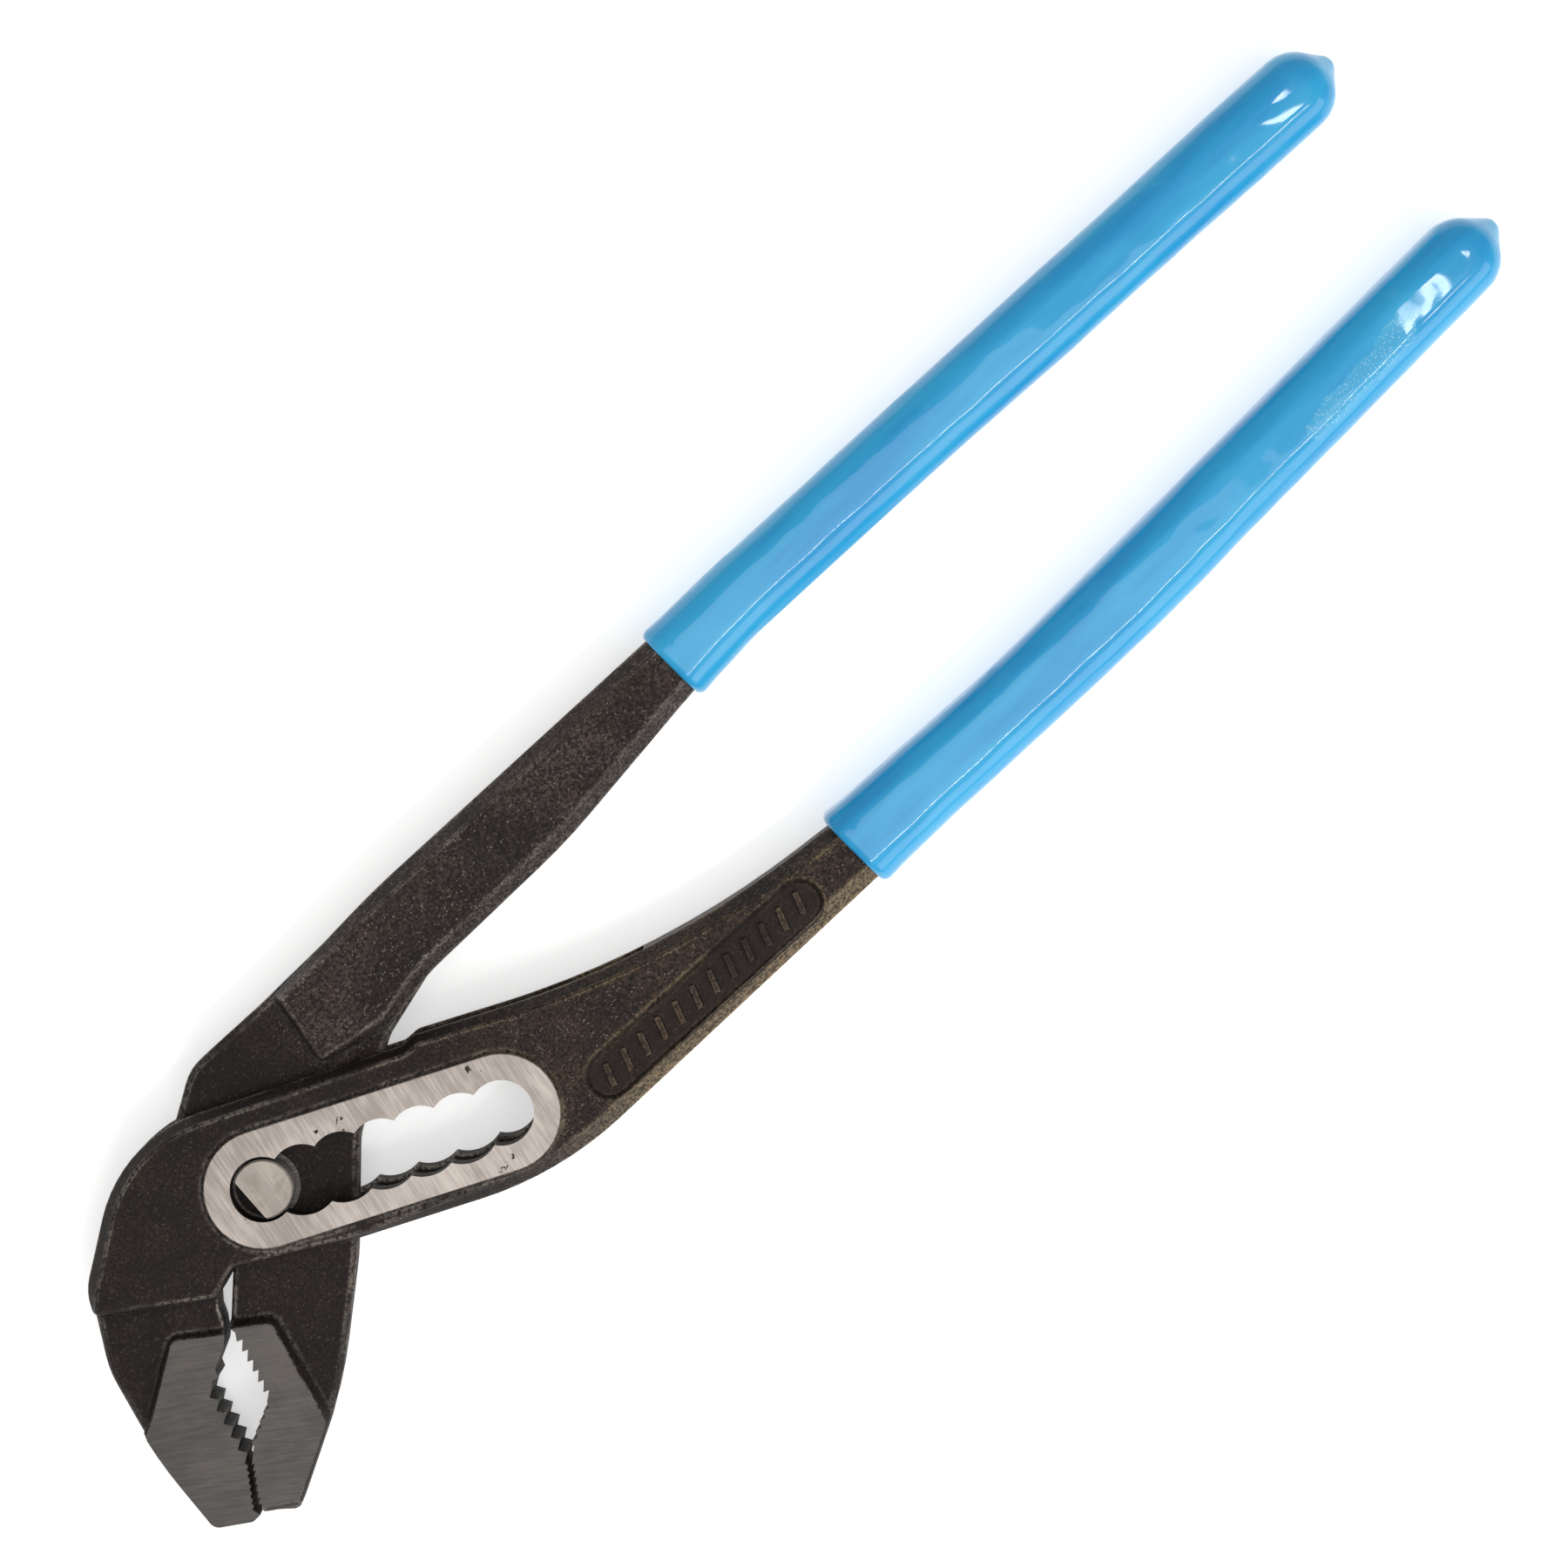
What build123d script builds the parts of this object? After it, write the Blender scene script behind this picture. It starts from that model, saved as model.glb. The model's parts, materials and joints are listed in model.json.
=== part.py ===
from build123d import *
import math
import os

# Box-joint water pump pliers, in millimetres.
# The pin's axis is the origin of X and Y, the handles point along +X, and the part lies on its back
# with the back of the slot ring at Z = 0. Everything is drawn about the mid-plane first, as the forgings
# are the same on both sides, and lifted by half the thickness at the end.

# Adjusting slot and pin
SLOT_ANGLE = -27.2          # direction of the slot, in degrees from the handles
PITCH = 5.65                # from one pin position to the next
POSITIONS = 7
TRAVEL = PITCH * (POSITIONS - 1)
PIN_RADIUS = 4.05
PIN_FLAT = 2.2              # from the pin's axis to its flat
PIN_FLAT_FACES = 176.5      # direction the flat faces when the jaws are closed, in degrees
NOTCH_RADIUS = 4.45
THROAT = 3.45               # from the slot's axis to the points between the upper notches
WAVE_RADIUS = 5.2           # the shallow waves of the slot's lower side
RING_WIDTH = 7.9            # from the slot's axis to the edge of the ground ring
RING_SLOPE = 0.6

# Thicknesses, each measured from the mid-plane
RING_HALF = 6.75
WALL_HALF = 6.25
CAVITY_HALF = 3.0
BLADE_HALF = 2.5
WEB_HALF = 3.2
JAW_HALF = 4.3
ARM_HALF = 4.95
GRIP_HALF = 5.9
FLANK = 2.1                 # height of the sloped flanks of the box and the arms
SOFT_EDGE = 0.4             # radius of the worn ridges between the flat faces and the flanks

# Places along the handles
THINNING_X = 44.0           # the slotted lever gets thinner from here
TANG_X = 90.0               # to here, and the rest of it lies in the grip
THINNING = math.degrees(math.atan((WALL_HALF - ARM_HALF) / (TANG_X - THINNING_X)))
TANG_END = 204.0
GRIP_FILLET = 4.2
DRIP_RADIUS = 2.0           # the drop left at the end of a dipped grip
DRIP_LENGTH = 1.6

# Shims
SHIM_RADIUS = 4.8
SHIM_THICK = 0.36
RUNNING_GAP = 0.05

# Recessed panel on the slotted lever
PANEL_START = (44.1, -22.3)
PANEL_END = (78.6, -24.1)
PANEL_RADIUS = 3.3
PANEL_DEPTH = 0.55
RIB_COUNT = 12
RIB_SIZE = (0.8, 3.3)
RIB_LEAN = 18.0


def on_slot(along, across):
    """The point this far along the slot from its first pin position, and this far across it."""
    angle = math.radians(SLOT_ANGLE)
    x = along * math.cos(angle) - across * math.sin(angle)
    y = along * math.sin(angle) + across * math.cos(angle)
    return (x, y)


# Outlines run anticlockwise. Each corner is x, y, the radius that rounds it, and how far
# the flat face is drawn in from the outline there, which is the width of the sloped flank.
BOX_AND_ARM = [
    (-15.1, -6.1, 0.9, 0.3),
    (-10.5, -4.8, 0.8, 0.3),
    (3.0, -13.4, 8.0, 0.8),
    (29.6, -27.1, 50.0, 2.1),
    (100.0, -29.6, 200.0, 2.3),
    (TANG_END, -30.3, 2.6, 1.9),
    (TANG_END, -21.8, 2.6, 1.9),
    (95.0, -20.6, 80.0, 1.9),
    (60.2, -16.2, 130.0, 1.6),
    (*on_slot(25.6, 13.4), 2.0, 1.1),
    (*on_slot(23.6, 12.5), 2.0, 1.1),
    (-9.3, 18.4, 19.5, 1.4),
    (-27.3, 7.0, 7.5, 1.6),
    (-28.8, 3.8, 1.1, 0.5),
]
SLOTTED_JAW = [
    (-37.6, -28.0, 1.6, 0.3),
    (-33.2, -31.1, 0.8, 0.3),
    (-20.0, -31.1, 0.0, 0.3),
    (-11.5, -4.0, 0.0, 0.3),
    (-18.0, 6.0, 0.0, 0.3),
    (-27.2, 6.4, 3.0, 0.6),
    (-32.9, -2.8, 14.0, 0.6),
    (-36.4, -15.5, 60.0, 0.4),
]
SLOTTED_PLATE = [
    (-50.0, -40.0, 0.0, 0.8),
    (-10.0, -40.0, 0.0, 0.8),
    (-10.0, -15.6, 0.0, 0.8),
    (-23.7, -5.0, 2.0, 0.8),
    (-50.0, -20.9, 0.0, 0.8),
]
CAVITY = [
    (-12.4, -20.0, 0.0, 0.0),
    (20.0, -45.0, 0.0, 0.0),
    (50.0, -45.0, 0.0, 0.0),
    (50.0, -27.0, 4.0, 0.0),
    (48.0, -20.9, 3.0, 0.0),
    (63.0, -11.0, 2.0, 0.0),
    (66.0, 10.0, 0.0, 0.0),
    (-14.0, 30.0, 0.0, 0.0),
    (-15.2, 14.0, 2.0, 0.0),
    (-17.3, 8.0, 3.0, 0.0),
    (-13.9, -1.0, 2.0, 0.0),
    (-12.4, -4.6, 0.0, 0.0),
]
BLADE = [
    (-33.5, -29.5, 0.0, 0.4),
    (-27.9, -34.5, 1.2, 0.4),
    (-12.3, -26.8, 60.0, 0.5),
    (1.8, -15.8, 40.0, 0.5),
    (13.45, -4.45, 9.0, 0.5),
    (26.0, 2.4, 6.0, 0.5),
    (40.0, 5.6, 0.0, 0.5),
    (40.0, 17.6, 0.0, 0.7),
    (16.5, 17.9, 30.0, 0.7),
    (3.8, 18.5, 7.0, 0.7),
    (-3.4, 14.4, 4.0, 0.6),
    (-12.8, 3.2, 8.0, 0.5),
    (-11.0, -4.7, 1.5, 0.3),
    (-17.2, -10.4, 0.0, 0.3),
]
INNER_PLATE = [
    (-36.0, -28.4, 0.0, 1.0),
    (-26.9, -34.5, 1.0, 1.0),
    (-15.9, -29.3, 2.2, 1.0),
    (-11.4, -13.3, 2.0, 1.0),
    (-20.0, -6.8, 0.0, 1.0),
]
INNER_ARM = [
    (17.1, 6.5, 1.2, 0.4),
    (27.2, 3.5, 2.5, 1.4),
    (36.5, 4.7, 20.0, 1.8),
    (62.0, 4.1, 90.0, 1.9),
    (90.0, 6.5, 60.0, 1.9),
    (TANG_END, 1.7, 2.6, 1.9),
    (TANG_END, 10.1, 2.6, 1.9),
    (92.0, 15.6, 200.0, 1.9),
    (38.0, 18.0, 100.0, 1.9),
    (18.9, 17.5, 1.0, 0.9),
]
SLOTTED_GRIP = [
    (88.2, -30.3, 0.0, 0.0),
    (140.0, -32.1, 300.0, 0.0),
    (209.8, -31.3, 5.5, 0.0),
    (209.8, -20.3, 5.5, 0.0),
    (120.0, -20.3, 250.0, 0.0),
    (88.6, -18.3, 0.0, 0.0),
]
INNER_GRIP = [
    (88.4, 5.3, 0.0, 0.0),
    (104.0, 5.8, 80.0, 0.0),
    (209.6, 0.1, 5.6, 0.0),
    (210.0, 11.5, 5.6, 0.0),
    (104.0, 16.4, 80.0, 0.0),
    (89.2, 16.7, 0.0, 0.0),
]


def rounded(corners):
    """Closed wire through the corners, each one rounded by an arc tangent to its two sides."""
    bends = []
    for place, (x, y, radius, _) in enumerate(corners):
        here = Vector(x, y)
        back = (Vector(*corners[place - 1][:2]) - here).normalized()
        ahead = (Vector(*corners[(place + 1) % len(corners)][:2]) - here).normalized()
        half_angle = math.radians(back.get_angle(ahead)) / 2
        reach = radius / math.tan(half_angle)
        middle = here + (back + ahead).normalized() * (radius / math.sin(half_angle) - radius)
        bends.append((here + back * reach, middle, here + ahead * reach, radius))
    edges = []
    for place, (start, middle, end, radius) in enumerate(bends):
        if radius:
            edges.append(Edge.make_three_point_arc(start, middle, end))
        edges.append(Edge.make_line(end, bends[(place + 1) % len(bends)][0]))
    return Wire(edges)


def drawn_in(corners):
    """The same outline with every corner moved inwards by its own flank width."""
    result = []
    for place, (x, y, radius, width) in enumerate(corners):
        here = Vector(x, y)
        arriving = (here - Vector(*corners[place - 1][:2])).normalized()
        leaving = (Vector(*corners[(place + 1) % len(corners)][:2]) - here).normalized()
        first = Vector(-arriving.Y, arriving.X)
        second = Vector(-leaving.Y, leaving.X)
        moved = here + (first + second) * (width / (1 + first.dot(second)))
        turn = arriving.cross(leaving).Z
        if radius:
            radius = max(radius - math.copysign(width, turn), 0.2)
        result.append((moved.X, moved.Y, radius, 0.0))
    return result


def slab(corners, half):
    """Plain slab of this outline, straight sided."""
    face = Face(rounded(corners))
    return extrude(face, half, both=True)


def forging(corners, half, rise, ridge=SOFT_EDGE, thinning=0.0, start_x=0.0):
    """Slab with its full outline at the waist and narrower flat faces, joined by sloped flanks.

    The ridges around its two faces are rounded by the ridge radius. With thinning, in degrees,
    the faces close in on each other towards +X from start_x on.
    """
    waist = rounded(corners)
    face = rounded(drawn_in(corners))
    layers = []
    for wire, height in ((face, -half), (waist, rise - half), (waist, half - rise), (face, half)):
        lean = math.copysign(thinning, height)
        tilt = Location((start_x, 0, height)) * Rotation(0, lean, 0) * Location((-start_x, 0, 0))
        layers.append(Face(wire.moved(tilt)))
    body = loft(layers, ruled=True)
    if ridge:
        faces = [face for face in body.faces() if abs(face.normal_at().Z) > 0.99]
        body = fillet([edge for face in faces for edge in face.edges()], ridge)
    return body


def between(body, low, high):
    """The stretch of a body between two values of X."""
    length = high - low
    window = Box(length, 200, 60)
    return body & window.moved(Location((low + length / 2, 0, 0)))


def teeth(first, last, count, bite):
    """Saw teeth: the tips stand evenly from first to last, each followed by a valley, bite away."""
    points = []
    for number in range(count):
        part_way = number / (count - 1)
        tip = Vector(*first) + (Vector(*last) - Vector(*first)) * part_way
        valley = tip + Vector(*bite)
        points.append((tip.X, tip.Y))
        points.append((valley.X, valley.Y))
    return points


def slotted_mouth():
    """Everything beyond the biting edge of the slotted lever's jaw."""
    root = [(-11.0, -4.2), (-14.6, -5.4), (-16.3, -7.3), (-17.1, -9.0), (-18.3, -10.6), (-19.4, -11.5)]
    hollow = [(-22.3, -12.8), (-22.7, -13.8), (-23.8, -13.6)]
    coarse = teeth((-24.3, -14.2), (-27.2, -23.9), 6, (-1.2, -0.75))
    fine = teeth((-28.4, -25.3), (-31.7, -29.7), 7, (-0.45, -0.1))
    outside = [(-31.9, -31.0), (-31.0, -60.0), (30.0, -60.0), (30.0, -4.2)]
    return extrude(make_face(Polyline(*root, *hollow, *coarse, *fine, *outside, close=True)), 10, both=True)


def inner_mouth():
    """Everything beyond the biting edge of the inner lever's jaw."""
    root = [(-18.0, -8.8), (-16.9, -10.2), (-16.8, -11.2)]
    upper = teeth((-17.5, -12.2), (-19.8, -19.6), 6, (0.75, -0.35))
    lower = teeth((-20.4, -20.9), (-25.6, -23.2), 5, (-0.35, -0.75))
    fine = teeth((-27.8, -25.4), (-31.0, -29.9), 7, (0.35, -0.25))
    outside = [(-31.2, -30.7), (-34.0, -36.0), (-60.0, -36.0), (-60.0, -8.8)]
    return extrude(make_face(Polyline(*root, *upper, *lower, *fine, *outside, close=True)), 10, both=True)


def slot_stadium(radius, height):
    """Face reaching this far from the slot's axis, at this height."""
    left_low = on_slot(0, -radius)
    right_low = on_slot(TRAVEL, -radius)
    right_end = on_slot(TRAVEL + radius, 0)
    right_high = on_slot(TRAVEL, radius)
    left_high = on_slot(0, radius)
    left_end = on_slot(-radius, 0)
    edges = [
        Edge.make_line(left_low, right_low),
        Edge.make_three_point_arc(right_low, right_end, right_high),
        Edge.make_line(right_high, left_high),
        Edge.make_three_point_arc(left_high, left_end, left_low),
    ]
    return Face(Wire(edges)).moved(Location((0, 0, height)))


def ring():
    """The ground ring that stands out of both walls around the slot."""
    levels = [
        slot_stadium(RING_WIDTH, -RING_HALF),
        slot_stadium(RING_WIDTH + RING_SLOPE, -WALL_HALF),
        slot_stadium(RING_WIDTH + RING_SLOPE, WALL_HALF),
        slot_stadium(RING_WIDTH, RING_HALF),
    ]
    return loft(levels, ruled=True)


def slot_opening():
    """The adjusting slot, cut through both walls: a notch for each pin position."""
    corners = [on_slot(0, -THROAT), on_slot(TRAVEL, -THROAT), on_slot(TRAVEL, THROAT), on_slot(0, THROAT)]
    opening = extrude(make_face(Polyline(*corners, close=True)), 10, both=True)
    below = [on_slot(-9, -9), on_slot(TRAVEL + 9, -9), on_slot(TRAVEL + 9, 0), on_slot(-9, 0)]
    lower_half = extrude(make_face(Polyline(*below, close=True)), 10, both=True)
    for number in range(POSITIONS):
        x, y = on_slot(number * PITCH, 0)
        opening += Location((x, y, 0)) * Cylinder(NOTCH_RADIUS, 20)
        if 0 < number < POSITIONS - 1:
            opening += (Location((x, y, 0)) * Cylinder(WAVE_RADIUS, 20)) & lower_half
    return opening


def panel_frame():
    """The place of the panel on the thinning upper face of the slotted lever, with X along it."""
    direction = math.degrees(math.atan2(PANEL_END[1] - PANEL_START[1], PANEL_END[0] - PANEL_START[0]))
    surface = Location((THINNING_X, 0, WALL_HALF)) * Rotation(0, THINNING, 0)
    return surface * Location((PANEL_START[0] - THINNING_X, PANEL_START[1], 0)) * Rotation(0, 0, direction)


def panel_recess():
    """Cutter for the shallow panel, with sloping sides."""
    length = math.dist(PANEL_START, PANEL_END)
    top = SlotCenterToCenter(length, 2 * PANEL_RADIUS).moved(Location((length / 2, 0, 0)))
    floor_radius = PANEL_RADIUS - PANEL_DEPTH
    floor = SlotCenterToCenter(length, 2 * floor_radius).moved(Location((length / 2, 0, -PANEL_DEPTH)))
    lid = extrude(top, 1.5)
    return panel_frame() * (lid + loft([floor.face(), top.face()], ruled=True))


def panel_ribs():
    """Plain slanted ribs standing on the panel's floor."""
    length = math.dist(PANEL_START, PANEL_END)
    ribs = []
    for number in range(RIB_COUNT):
        x = length * number / (RIB_COUNT - 1)
        place = Location((x, 0, -PANEL_DEPTH + 0.1)) * Rotation(0, 0, -RIB_LEAN)
        ribs.append(panel_frame() * (place * Box(*RIB_SIZE, 0.6)))
    return ribs


def slotted_lever():
    """Head, jaw, slotted box and lower handle, forged in one piece."""
    box = between(forging(BOX_AND_ARM, WALL_HALF, FLANK), -60, THINNING_X)
    thinning = forging(BOX_AND_ARM, WALL_HALF, FLANK, SOFT_EDGE, THINNING, THINNING_X)
    arm = between(thinning, THINNING_X, TANG_X)
    tang = between(forging(BOX_AND_ARM, ARM_HALF, FLANK), TANG_X, TANG_END + 1)
    jaw = forging(SLOTTED_JAW, WEB_HALF, 0.8)
    plate = forging(SLOTTED_PLATE, JAW_HALF, JAW_HALF - WEB_HALF, 0) & slab(SLOTTED_JAW, JAW_HALF)
    jaw = (jaw + plate) - slotted_mouth()
    body = box + arm + tang + ring() + jaw
    body -= slab(CAVITY, CAVITY_HALF)
    body -= slot_opening()
    recess = panel_recess()
    body -= recess
    body -= mirror(recess, about=Plane.XY)
    for rib in panel_ribs():
        body += rib
    return body


def pin():
    """Pivot pin: round, with one flat that lines up with the slot when the pliers are wide open."""
    blank = Cylinder(PIN_RADIUS, 2 * RING_HALF)
    blank = chamfer(blank.edges().filter_by(GeomType.CIRCLE), 0.25)
    waste = Location((PIN_FLAT + 10, 0, 0)) * Box(20, 20, 20)
    return blank - Rotation(0, 0, PIN_FLAT_FACES) * waste


def inner_lever():
    """Upper handle, thin blade through the box, and the other jaw, forged in one piece."""
    blade = forging(BLADE, BLADE_HALF, 0.6)
    plate = forging(INNER_PLATE, JAW_HALF, JAW_HALF - BLADE_HALF, 0) & slab(BLADE, JAW_HALF)
    jaw = (blade + plate) - inner_mouth()
    arm = forging(INNER_ARM, ARM_HALF, FLANK)
    return jaw + arm - pin()


def grip(corners, lever):
    """Dipped vinyl sleeve around a handle, its long edges well rounded."""
    sleeve = slab(corners, GRIP_HALF)
    start_x = max(corners[0][0], corners[-1][0]) + 1
    long_edges = []
    for edge in sleeve.edges():
        flat = abs(abs(edge.center().Z) - GRIP_HALF) < 0.01
        if flat and edge.center().X > start_x:
            long_edges.append(edge)
    end_x = corners[2][0] + DRIP_LENGTH - DRIP_RADIUS
    end_y = (corners[2][1] + corners[3][1]) / 2
    drip = Location((end_x, end_y, 0)) * Sphere(DRIP_RADIUS)
    return fillet(long_edges, GRIP_FILLET) + drip - lever


def shim(side):
    """Thin washer on the pin, between the blade and one wall."""
    middle = BLADE_HALF + RUNNING_GAP + SHIM_THICK / 2
    washer = Cylinder(SHIM_RADIUS, SHIM_THICK) - Cylinder(PIN_RADIUS + RUNNING_GAP, 1)
    return Location((0, 0, side * middle)) * washer


def pieces():
    """Every piece of the pliers, closed, on the pin's first position."""
    slotted = slotted_lever()
    inner = inner_lever()
    drawn = {
        "slotted_lever": slotted,
        "inner_lever": inner,
        "pivot_pin": pin(),
        "shim_front": shim(1),
        "shim_back": shim(-1),
        "grip_slotted": grip(SLOTTED_GRIP, slotted),
        "grip_inner": grip(INNER_GRIP, inner),
    }
    return {name: body.moved(Location((0, 0, RING_HALF))) for name, body in drawn.items()}


os.makedirs("parts", exist_ok=True)
for name, body in pieces().items():
    export_step(body, f"parts/{name}.step")
    print(name, round(body.volume, 1), body.is_valid)
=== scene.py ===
# %% [markdown]
# # Tongue and groove pliers
# The tool is two dark steel forgings, a ground pin, two thin shims and two dipped vinyl grips. Blender
# adds what a drawing can't hold: scale and grain on the forgings, grinding marks on the ring, and soft,
# slightly uneven vinyl.

# %% Load the frame
import json
import math
import bmesh
import bpy
from mathutils import Matrix, Vector, noise
from mathutils.bvhtree import BVHTree


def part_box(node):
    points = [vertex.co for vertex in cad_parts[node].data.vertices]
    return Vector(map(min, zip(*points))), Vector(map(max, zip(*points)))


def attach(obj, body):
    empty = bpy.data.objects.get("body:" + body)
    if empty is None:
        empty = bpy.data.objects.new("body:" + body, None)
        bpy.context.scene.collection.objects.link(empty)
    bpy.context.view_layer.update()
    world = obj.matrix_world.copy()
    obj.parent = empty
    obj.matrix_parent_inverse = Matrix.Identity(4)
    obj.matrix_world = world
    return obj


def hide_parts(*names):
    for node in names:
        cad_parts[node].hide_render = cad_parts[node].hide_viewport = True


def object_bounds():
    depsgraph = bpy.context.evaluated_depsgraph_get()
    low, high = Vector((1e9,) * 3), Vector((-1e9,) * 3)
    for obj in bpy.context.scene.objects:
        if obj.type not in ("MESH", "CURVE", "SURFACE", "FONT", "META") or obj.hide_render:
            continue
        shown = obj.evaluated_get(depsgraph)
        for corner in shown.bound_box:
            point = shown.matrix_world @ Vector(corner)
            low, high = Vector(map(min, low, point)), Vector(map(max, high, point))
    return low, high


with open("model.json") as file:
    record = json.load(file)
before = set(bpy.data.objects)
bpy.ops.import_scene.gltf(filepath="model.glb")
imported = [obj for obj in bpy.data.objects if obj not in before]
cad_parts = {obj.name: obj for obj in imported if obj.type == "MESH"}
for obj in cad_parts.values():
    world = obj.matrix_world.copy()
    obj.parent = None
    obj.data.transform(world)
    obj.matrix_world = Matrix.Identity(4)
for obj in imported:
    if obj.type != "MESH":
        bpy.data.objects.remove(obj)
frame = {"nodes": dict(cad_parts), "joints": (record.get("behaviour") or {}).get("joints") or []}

cad_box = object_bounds()
MM = 0.001

# %% [markdown]
# The mid-plane of the forgings is half-way up the whole tool, and the ring's faces are its very top and
# bottom. The slot runs along the axis of the first joint, which slides in it.

# %% Measure the frame
low, high = cad_box
MIDDLE_Z = (low[2] + high[2]) / 2
RING_TOP = high[2] - MIDDLE_Z
slide = frame["joints"][0]
SLOT_ANGLE = math.atan2(slide["axis"][1], slide["axis"][0])
print("mid-plane", round(MIDDLE_Z / MM, 2), "mm, slot at", round(math.degrees(SLOT_ANGLE), 1), "degrees")

# %% [markdown]
# A node material is easier to read when a sum is written like a sum. These helpers add one node each and
# give back its output socket, so that formulas can be nested. Numbers go into sockets as they are,
# sockets are linked.

# %% Helpers for node trees
def fill(tree, node, values):
    for name, value in values.items():
        if isinstance(value, bpy.types.NodeSocket):
            tree.links.new(value, node.inputs[name])
        else:
            node.inputs[name].default_value = value


def add(tree, kind, settings=None, **values):
    node = tree.nodes.new("ShaderNode" + kind)
    for name, value in (settings or {}).items():
        setattr(node, name, value)
    fill(tree, node, {name.replace("_", " "): value for name, value in values.items()})
    return node


def calc(tree, operation, first, second=0.0, clamp=False):
    node = add(tree, "Math", {"operation": operation, "use_clamp": clamp})
    fill(tree, node, {0: first, 1: second})
    return node.outputs[0]


def product(tree, first, *others):
    for other in others:
        first = calc(tree, "MULTIPLY", first, other)
    return first


def total(tree, first, second):
    return calc(tree, "ADD", first, second)


def ramp(tree, value, start, end, low_value=0.0, high_value=1.0):
    """A soft step from low_value to high_value while the value goes from start to end."""
    node = add(tree, "MapRange", {"interpolation_type": "SMOOTHSTEP"}, Value=value)
    fill(tree, node, {"From Min": start, "From Max": end, "To Min": low_value, "To Max": high_value})
    return node.outputs["Result"]


def blend_colors(tree, amount, first, second):
    node = add(tree, "Mix", {"data_type": "RGBA"})
    fill(tree, node, {0: amount, 6: first, 7: second})
    return node.outputs[2]


def grain(tree, where, scale, detail=2.0, roughness=0.5):
    return add(tree, "TexNoise", Vector=where, Scale=scale, Detail=detail, Roughness=roughness).outputs["Fac"]


print("node helpers ready")

# %% [markdown]
# The next helpers are about places. Object coordinates are the drawing's own metres here, so a mask can
# be a height or a distance from a line, and it stays on the metal when a joint moves.

# %% Helpers for places
def own_place(tree):
    return add(tree, "TexCoord").outputs["Object"]


def part_of(tree, vector, axis):
    return add(tree, "SeparateXYZ", Vector=vector).outputs[axis]


def height_above_middle(tree, where):
    return calc(tree, "ABSOLUTE", calc(tree, "SUBTRACT", part_of(tree, where, "Z"), MIDDLE_Z))


def stretched(tree, where, angle, scale):
    """Coordinates with X turned to angle and each axis scaled, so that a pattern runs that way."""
    node = add(tree, "Mapping", {"vector_type": "TEXTURE"}, Vector=where)
    node.inputs["Rotation"].default_value = (0, 0, angle)
    node.inputs["Scale"].default_value = [1 / value for value in scale]
    return node.outputs["Vector"]


def segment_distance(tree, where, start, end):
    """Distance from the upright wall that stands on the line from start to end, rounded at its ends."""
    run = Vector(end) - Vector(start)
    point = add(tree, "SeparateXYZ", Vector=where).outputs
    x = calc(tree, "SUBTRACT", point["X"], start[0])
    y = calc(tree, "SUBTRACT", point["Y"], start[1])
    along = total(tree, product(tree, x, run.x), product(tree, y, run.y))
    share = calc(tree, "DIVIDE", along, run.length_squared, clamp=True)
    off_x = calc(tree, "SUBTRACT", x, product(tree, share, run.x))
    off_y = calc(tree, "SUBTRACT", y, product(tree, share, run.y))
    square = total(tree, calc(tree, "POWER", off_x, 2.0), calc(tree, "POWER", off_y, 2.0))
    return calc(tree, "SQRT", square)


print("place helpers ready")

# %% [markdown]
# The first effect that several materials share is wear along the edges. A Bevel node bends the normal
# near an edge, so comparing it with the plain normal finds the edges, even on a mesh of loose triangles.
# Inner corners bend it too, and an Ambient Occlusion node takes them out again, because no wear lies
# there; the same node gives the mask of inner corners that the materials darken as painted shade.

# %% Edge wear and corner shade group
EDGE_WIDTH = 0.9 * MM
CORNER_REACH = 1.1 * MM
TURNED_NORMAL = (0.001, 0.045)
OPEN_AIR = (0.72, 0.93)
FINE_BREAKS = (1900.0, (0.34, 0.60))
BROAD_BREAKS = (130.0, (0.36, 0.60, 0.15, 1.0))
RAYS = 6


def new_group(name, inputs, outputs):
    tree = bpy.data.node_groups.new(name, "ShaderNodeTree")
    for socket_name, value in inputs.items():
        socket = tree.interface.new_socket(socket_name, in_out="INPUT", socket_type="NodeSocketFloat")
        socket.default_value = value
    for socket_name in outputs:
        tree.interface.new_socket(socket_name, in_out="OUTPUT", socket_type="NodeSocketFloat")
    return tree, tree.nodes.new("NodeGroupInput").outputs, tree.nodes.new("NodeGroupOutput")


def make_edge_wear_and_shade():
    tree, given, result = new_group("edge_wear_and_corner_shade", {"Radius": EDGE_WIDTH}, ["Worn", "Corner Shade"])
    where = own_place(tree)
    dot = add(tree, "VectorMath", {"operation": "DOT_PRODUCT"})
    bent = add(tree, "Bevel", {"samples": RAYS}, Radius=given["Radius"]).outputs["Normal"]
    fill(tree, dot, {0: bent, 1: add(tree, "NewGeometry").outputs["Normal"]})
    turned = ramp(tree, calc(tree, "SUBTRACT", 1.0, dot.outputs["Value"]), *TURNED_NORMAL)
    occlusion = add(tree, "AmbientOcclusion", {"samples": RAYS, "only_local": True}, Distance=CORNER_REACH)
    outside = ramp(tree, occlusion.outputs["AO"], *OPEN_AIR)
    fine = ramp(tree, grain(tree, where, FINE_BREAKS[0], 2.0, 0.7), *FINE_BREAKS[1])
    broad = ramp(tree, grain(tree, where, BROAD_BREAKS[0], 3.0, 0.6), *BROAD_BREAKS[1])
    worn = product(tree, turned, outside, product(tree, fine, broad))
    # The second output masks the occluded inner corners, which the materials darken as painted shade.
    fill(tree, result, {"Worn": worn, "Corner Shade": calc(tree, "SUBTRACT", 1.0, outside, clamp=True)})
    return tree


EDGE_WEAR_AND_SHADE = make_edge_wear_and_shade()
print("group", EDGE_WEAR_AND_SHADE.name)
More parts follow.
